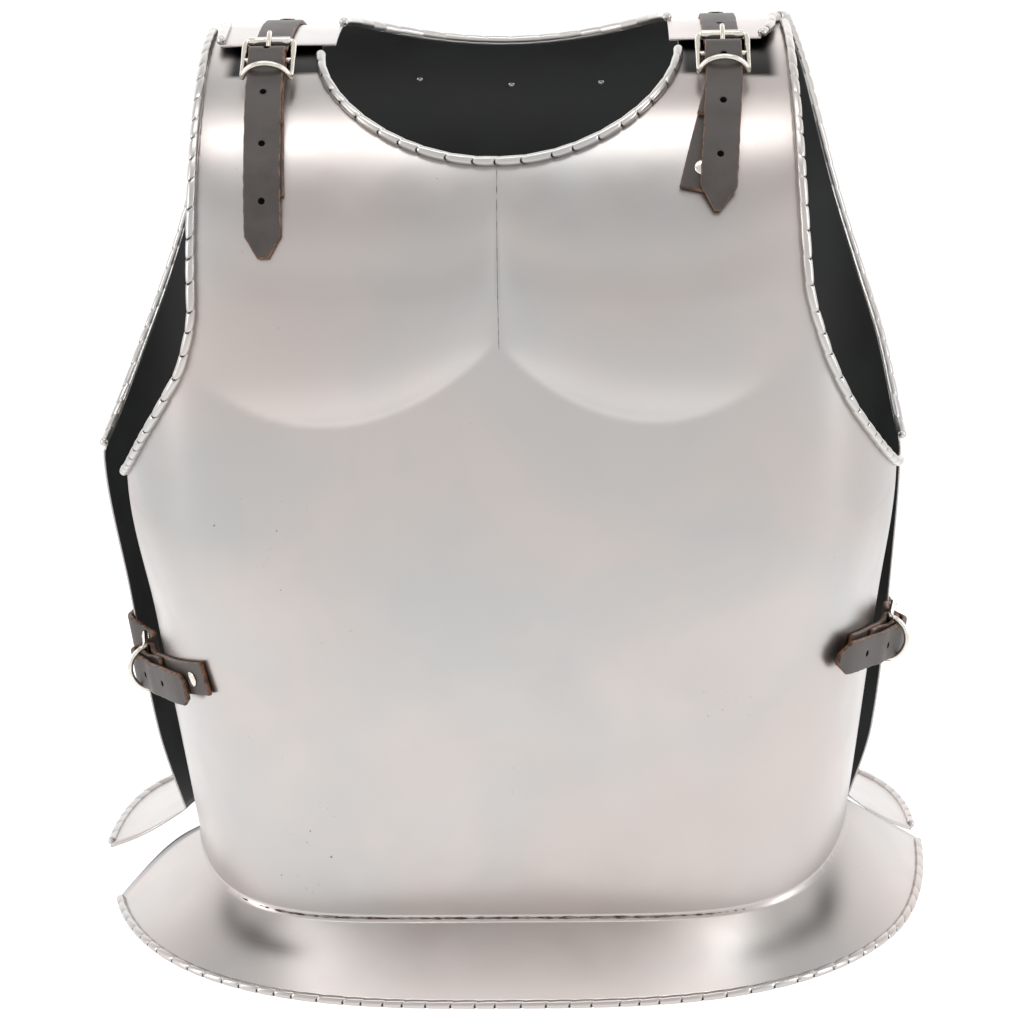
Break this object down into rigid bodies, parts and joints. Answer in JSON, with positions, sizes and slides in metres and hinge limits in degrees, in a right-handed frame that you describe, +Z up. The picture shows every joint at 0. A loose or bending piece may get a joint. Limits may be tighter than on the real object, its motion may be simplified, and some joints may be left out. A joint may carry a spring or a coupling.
{
  "type": "cuirass",
  "caption": "Sheet metal torso armour: a breastplate and a backplate with flared skirts, joined by buckled straps at shoulders and sides.",
  "frame": {"origin": "centre of the bounding box's underside, on the surface that the skirts stand on", "axes": "+Z up along the wearer's spine, -Y out of the chest, +X towards the wearer's left arm"},
  "size_m": [0.5178, 0.3788, 0.5349],
  "materials": {
    "polished_steel": "satin polished, lacquered black inside the backplate",
    "nickel_plate": "bright nickel plate",
    "dark_brown_leather": "smooth dark brown strap leather with raw edges"
  },
  "bodies": {
    "root": {"breastplate": "polished_steel", "backplate": "polished_steel", "shoulder_left_chape_strap": "dark_brown_leather", "shoulder_left_billet_strap": "dark_brown_leather", "shoulder_left_buckle": "nickel_plate", "shoulder_left_roller": "nickel_plate", "shoulder_left_tongue": "nickel_plate", "shoulder_left_fold_rivet": "nickel_plate", "shoulder_left_chape_rivet": "nickel_plate", "shoulder_left_billet_rivet": "nickel_plate", "shoulder_right_chape_strap": "dark_brown_leather", "shoulder_right_billet_strap": "dark_brown_leather", "shoulder_right_buckle": "nickel_plate", "shoulder_right_roller": "nickel_plate", "shoulder_right_tongue": "nickel_plate", "shoulder_right_fold_rivet": "nickel_plate", "shoulder_right_chape_rivet": "nickel_plate", "shoulder_right_billet_rivet": "nickel_plate", "side_left_chape_strap": "dark_brown_leather", "side_left_billet_strap": "dark_brown_leather", "side_left_buckle": "nickel_plate", "side_left_roller": "nickel_plate", "side_left_tongue": "nickel_plate", "side_left_fold_rivet": "nickel_plate", "side_left_chape_rivet": "nickel_plate", "side_left_billet_rivet": "nickel_plate", "side_right_chape_strap": "dark_brown_leather", "side_right_billet_strap": "dark_brown_leather", "side_right_buckle": "nickel_plate", "side_right_roller": "nickel_plate", "side_right_tongue": "nickel_plate", "side_right_fold_rivet": "nickel_plate", "side_right_chape_rivet": "nickel_plate", "side_right_billet_rivet": "nickel_plate", "nape_rivet_1": "nickel_plate", "nape_rivet_2": "nickel_plate", "nape_rivet_3": "nickel_plate"}
  },
  "joints": []
}
